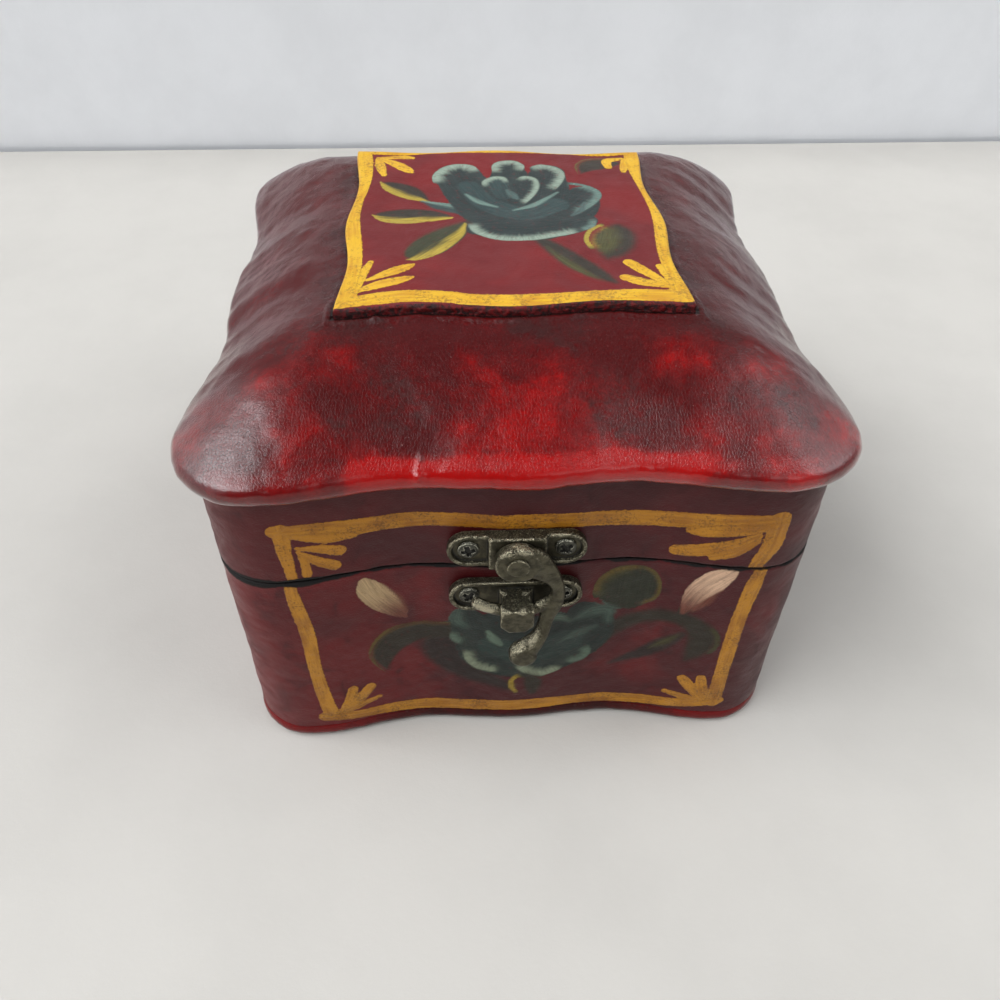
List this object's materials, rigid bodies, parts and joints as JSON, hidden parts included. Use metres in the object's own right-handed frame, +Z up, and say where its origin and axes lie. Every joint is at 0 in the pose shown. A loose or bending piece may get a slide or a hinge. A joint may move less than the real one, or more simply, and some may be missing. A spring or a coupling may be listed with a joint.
{
  "type": "keepsake box",
  "caption": "Small serpentine-sided keepsake box with a pillow-shaped hinged lid, a raised tablet and a swing-hook latch on the front.",
  "frame": {"origin": "centre of the underside of the base board, on the table", "axes": "+Z up, -Y towards the front with the latch, +X to the right when seen from the front"},
  "size_m": [0.1328, 0.1415, 0.1009],
  "materials": {
    "painted_wood": "lacquered, worn",
    "red_lacquer": "lacquered, worn",
    "tablet_paint": "painted, satin",
    "old_bronze": "antiqued",
    "dark_screw": "blackened",
    "hinge_brass": "satin",
    "felt": "matte"
  },
  "bodies": {
    "box": {"base_board": "red_lacquer", "front_wall": "painted_wood", "right_wall": "painted_wood", "back_wall": "painted_wood", "left_wall": "painted_wood", "floor_lining": "felt", "catch_plate": "old_bronze", "catch_screws": "dark_screw", "left_hinge_lower_leaf": "hinge_brass", "right_hinge_lower_leaf": "hinge_brass", "left_hinge_pin": "hinge_brass", "right_hinge_pin": "hinge_brass", "hinge_lower_screws": "hinge_brass"},
    "lid": {"lid_front_rail": "painted_wood", "lid_right_rail": "painted_wood", "lid_back_rail": "painted_wood", "lid_left_rail": "painted_wood", "lid_dome": "red_lacquer", "lid_tablet": "tablet_paint", "latch_plate": "old_bronze", "latch_screws": "dark_screw", "hook_rivet": "old_bronze", "left_hinge_upper_leaf": "hinge_brass", "right_hinge_upper_leaf": "hinge_brass", "hinge_upper_screws": "hinge_brass"},
    "hook": {"latch_hook": "old_bronze"}
  },
  "joints": [
    {"name": "lid_hinge", "type": "hinge", "parent": "box", "child": "lid", "pos_m": [0, 0.0678, 0.05655], "axis": [-1, 0, 0], "range_deg": [0, 178]},
    {"name": "hook_swing", "type": "hinge", "parent": "lid", "child": "hook", "pos_m": [-0.0008, -0.06935, 0.0625], "axis": [0, -1, 0], "range_deg": [0, 100]}
  ]
}
